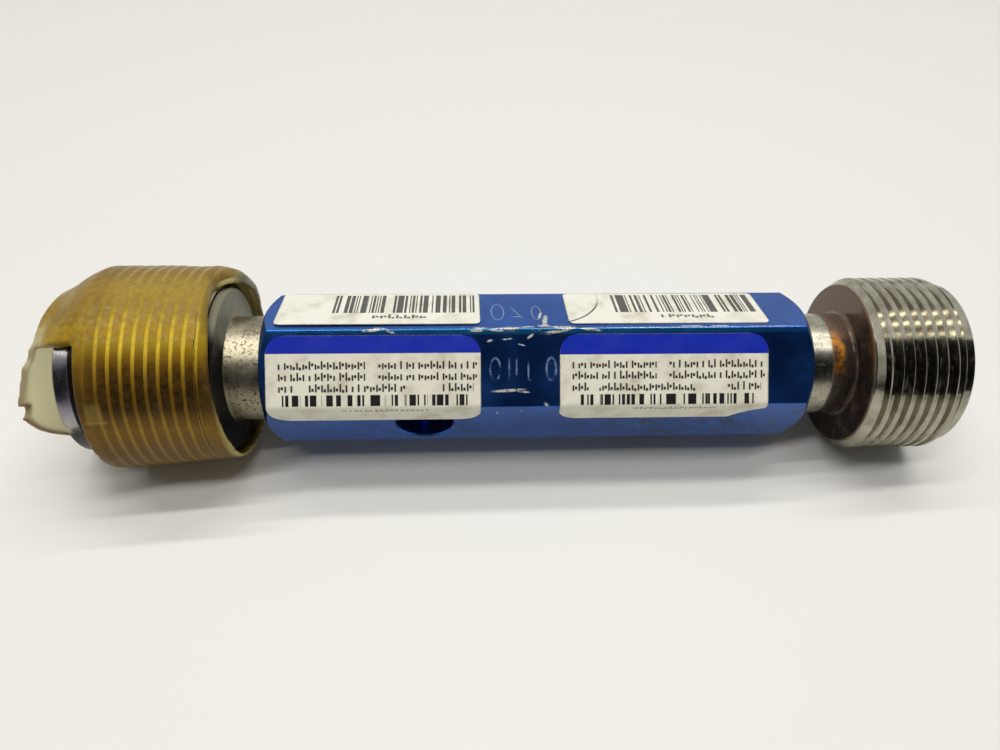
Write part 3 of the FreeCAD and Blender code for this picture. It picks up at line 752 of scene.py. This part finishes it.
tree.links.new(skin, shader.inputs["Base Color"])
soft_light = add(tree, "Math", flap_share, clear_lip, operation="MAXIMUM")
tree.links.new(add(tree, "Math", soft_light, 0.8, 0.1, operation="MULTIPLY_ADD"),
               shader.inputs["Subsurface Weight"])
clear = add(tree, "Math", add(tree, "Math", flap_share, 0.8, operation="MULTIPLY"),
            add(tree, "Math", clear_lip, add(tree, "MapRange", facing, 0.1, -0.2, 0.25, 0.8,
                                             interpolation_type="SMOOTHSTEP"),
                operation="MULTIPLY"), operation="MAXIMUM")
clear = add(tree, "Math", clear, add(tree, "Math", 1.0,
                                     add(tree, "Math", rim, 0.7, operation="MULTIPLY"),
                                     operation="SUBTRACT"), operation="MULTIPLY")
tree.links.new(clear, shader.inputs["Transmission Weight"])

# The flap's torn edge: degrees round the axis and distance from it.
torn_edge = [radial(degrees) * out for degrees, out in (
    (62.0, 17.2), (54.0, 16.8), (48.0, 18.0), (39.0, 18.1), (32.0, 18.7), (27.0, 18.9),
    (24.0, 16.9), (21.0, 17.3), (18.0, 18.3), (11.0, 17.0), (3.0, 15.8), (-9.0, 14.3),
    (-20.0, 13.4), (-40.0, 13.0), (-63.0, 14.0))]


def rim_share(point):
    """1 on the flap's torn edge, fading to 0 within a millimetre."""
    flat = Vector((0, point.y, point.z))
    nearest = 9.0
    for a, b in zip(torn_edge, torn_edge[1:]):
        share = min(1, max(0, (flat - a).dot(b - a) / (b - a).length_squared))
        nearest = min(nearest, (flat - a - (b - a) * share).length)
    return max(0.0, 1 - nearest / 0.8)


# How far the mouth's edge stands past the member's face, round the axis.
lip_angles = (-180, -120, -75, -14, 2, 25, 46, 62, 85, 106, 120, 138, 158, 180)
lip_reach = (2.4, 1.9, 1.6, 1.4, 1.1, 0.5, 0.0, -0.3, -1.0, -1.6, 0.6, 3.2, 3.6, 2.4)
mouth_start, shoulder_start, shoulder_pull, ridge_height = -63, -81.8, 1.9, 0.09
coat_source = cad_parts["dip_coat"].data
bm = bmesh.new()
bm.from_mesh(coat_source)
bmesh.ops.remove_doubles(bm, verts=bm.verts, dist=0.000002)
coat_mesh = bpy.data.meshes.new("dip_coat_skin")
bm.to_mesh(coat_mesh)
bm.free()
coat_skin = bpy.data.objects.new("dip_coat_skin", coat_mesh)
bpy.context.scene.collection.objects.link(coat_skin)
remesh = coat_skin.modifiers.new("even", "REMESH")
remesh.mode = "VOXEL"
remesh.voxel_size = 0.00042
depsgraph = bpy.context.evaluated_depsgraph_get()
even_mesh = bpy.data.meshes.new_from_object(coat_skin.evaluated_get(depsgraph))
coat_skin.modifiers.clear()
bm = bmesh.new()
bm.from_mesh(even_mesh)
bm.transform(gauge_inverse)
for _ in range(3):
    bmesh.ops.smooth_vert(bm, verts=bm.verts, factor=0.5, use_axis_x=True, use_axis_y=True,
                          use_axis_z=True)
bm.normal_update()
rim_layer = bm.verts.layers.float.new("torn_rim")
for vert in bm.verts:
    away = math.hypot(vert.co.y, vert.co.z)
    turn = math.atan2(vert.co.z, -vert.co.y) / (2 * math.pi)
    if vert.co.x < -84:
        vert[rim_layer] = rim_share(vert.co)
    outer = away > 18.3 and -81 < vert.co.x < -60.5
    lump = noise.noise(vert.co * 0.18) * 0.16 + noise.noise(vert.co * 0.5) * 0.05
    if outer:
        phase = vert.co.x / pitch - turn
        faded = min(1, max(0.3, (112 - 360 * turn) / 25)) * min(1, max(0.3, (360 * turn + 70) / 25))
        vert.co += vert.normal * (ridge_height * faded * math.cos(2 * math.pi * phase) + lump)
    elif away > 15:
        vert.co += vert.normal * lump * 0.5
    if vert.co.x > mouth_start:
        share = min(1, (vert.co.x - mouth_start) / 3.4)
        reach = numpy.interp(360 * turn, lip_angles, lip_reach)
        vert.co.x += share * share * reach
    if vert.co.x < shoulder_start:
        share = min(1, (shoulder_start - vert.co.x) / 5.5)
        above = min(1, max(0, (360 * turn - 58) / 20)) * min(1, max(0, (150 - 360 * turn) / 20))
        kept = max(away - shoulder_pull * share * above, min(away, 16.2))
        vert.co.y *= kept / away
        vert.co.z *= kept / away
for face in bm.faces:
    face.smooth = True
bm.transform(gauge)
bm.to_mesh(coat_mesh)
bm.free()
coat_mesh.materials.append(amber)
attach(coat_skin, "root")
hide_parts("dip_coat")

# ----------------------------------------------------- table, room, lamps, camera
# A white table under a row of ceiling tubes. The dark room in front of the table
# shows in the metal only.

# Painted board: plain and matt, going on pale into the distance.
table_material, tree, shader = new_material("white_table", Roughness=0.6)
shader.inputs["Base Color"].default_value = colour("#ecebe5")
shader.inputs["Emission Color"].default_value = colour("#f0efea")
distance = add(tree, "VectorMath", add(tree, "TexCoord", out="Object"), out="Value",
               operation="LENGTH")
far_off = add(tree, "MapRange", distance, 0.35, 1.6, interpolation_type="SMOOTHSTEP")
glow = add(tree, "Math", far_off, add(tree, "LightPath", out="Is Camera Ray"), operation="MULTIPLY")
tree.links.new(add(tree, "Math", glow, 0.3, operation="MULTIPLY"),
               shader.inputs["Emission Strength"])
bm = bmesh.new()
bmesh.ops.create_grid(bm, x_segments=1, y_segments=1, size=3)
stand("table", bm, table_material)

# Black cloth: no gloss at all.
dark_cloth, tree, shader = new_material("dark_room_cloth", Roughness=1.0)
shader.inputs["Base Color"].default_value = colour("#1b1b20")
shader.inputs["Specular IOR Level"].default_value = 0.0
bm = bmesh.new()
start = bm.verts.new(radial(-2) * 0.6 + Vector((-0.9, 0, 0)))
end = bm.verts.new(radial(-2) * 0.6 + Vector((0.9, 0, 0)))
rail = bm.edges.new((start, end))
bmesh.ops.spin(bm, geom=[start, end, rail], cent=(0, 0, 0), axis=(1, 0, 0), dvec=(0, 0, 0),
               angle=math.radians(-73), steps=16, use_merge=False, use_normal_flip=False,
               use_duplicate=False)
bmesh.ops.subdivide_edges(bm, edges=bm.edges, cuts=3, use_grid_fill=True)
for vert in bm.verts:
    vert.co = Matrix.Rotation(math.radians(-14 * vert.co.x), 3, "X") @ vert.co
dark_room = stand("dark_room", bm, dark_cloth)
dark_room.visible_camera = False
dark_room.visible_diffuse = False
dark_room.visible_shadow = False
dark_room.visible_transmission = False

tube_distance, tube_length, tube_width = 0.9, 1.0, 0.03
for left_angle, right_angle, power in ((70, 83, 2.9), (92, 98, 3.2), (108, 112, 2.6)):
    tube = bpy.data.lights.new("ceiling_tube", "AREA")
    tube.shape = "RECTANGLE"
    tube.size = tube_length
    tube.size_y = tube_width
    tube.energy = power
    tube.color = (1.0, 0.99, 0.975)
    lamp = bpy.data.objects.new("ceiling_tube", tube)
    near, far = radial(left_angle) * tube_distance, radial(right_angle) * tube_distance
    near.x, far.x = -0.45, 0.45
    lamp.location = (near + far) / 2
    along = (far - near).normalized()
    away = (near + far).normalized()
    away = (away - along * away.dot(along)).normalized()
    lamp.rotation_euler = Matrix((along, away.cross(along), away)).transposed().to_euler()
    bpy.context.scene.collection.objects.link(lamp)

world = bpy.data.worlds.new("room")
bpy.context.scene.world = world
world.use_nodes = True
tree = world.node_tree
background = tree.nodes["Background"]
rays = add(tree, "LightPath", out=None).outputs
seen = any_of(tree, [rays["Is Camera Ray"], rays["Is Glossy Ray"], rays["Is Transmission Ray"]])
background.inputs["Color"].default_value = colour("#f2f2f0")
tree.links.new(add(tree, "Math", seen, 0.76, 0.14, operation="MULTIPLY_ADD"),
               background.inputs["Strength"])

# The camera is held at hand height over the table, looking down at 47 degrees.
camera_data = bpy.data.cameras.new("camera")
camera_data.lens = 27.03
camera_data.sensor_width = 36
camera = bpy.data.objects.new("camera", camera_data)
camera.location = (-0.00672, -0.10554, 0.12921)
camera.rotation_euler = [math.radians(a) for a in (42.817, -0.835, -2.118)]
bpy.context.scene.collection.objects.link(camera)
bpy.context.scene.camera = camera
bpy.context.scene.view_settings.view_transform = "Standard"
